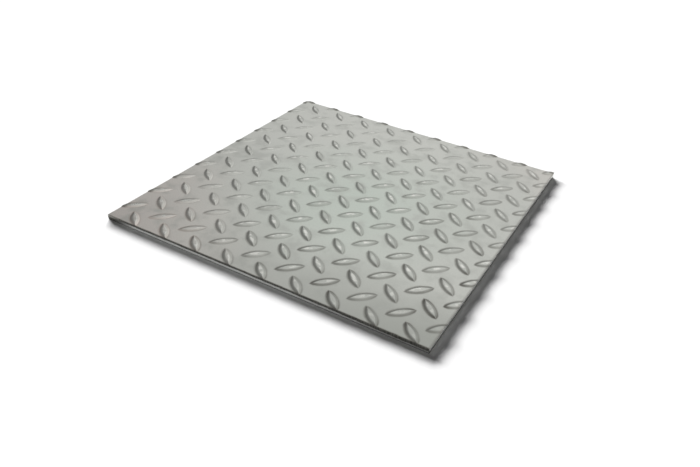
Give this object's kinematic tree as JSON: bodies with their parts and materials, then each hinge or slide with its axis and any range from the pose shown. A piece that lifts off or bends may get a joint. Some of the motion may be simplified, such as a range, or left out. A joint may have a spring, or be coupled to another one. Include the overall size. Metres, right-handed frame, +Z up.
{
  "type": "checker plate",
  "caption": "Flat piece of rolled steel floor plate with raised almond lugs in two directions on its upper face and sheared edges.",
  "frame": {"origin": "middle of the plate's underside, which is the face that it rests on", "axes": "+Z up through the tread, +X along the shorter side, +Y along the longer side"},
  "size_m": [0.38, 0.4, 0.0072],
  "materials": {
    "steel": "bare hot-rolled steel, pale grey and satin, with a fine rolled grain"
  },
  "bodies": {
    "root": {"checker_plate": "steel"}
  },
  "joints": []
}
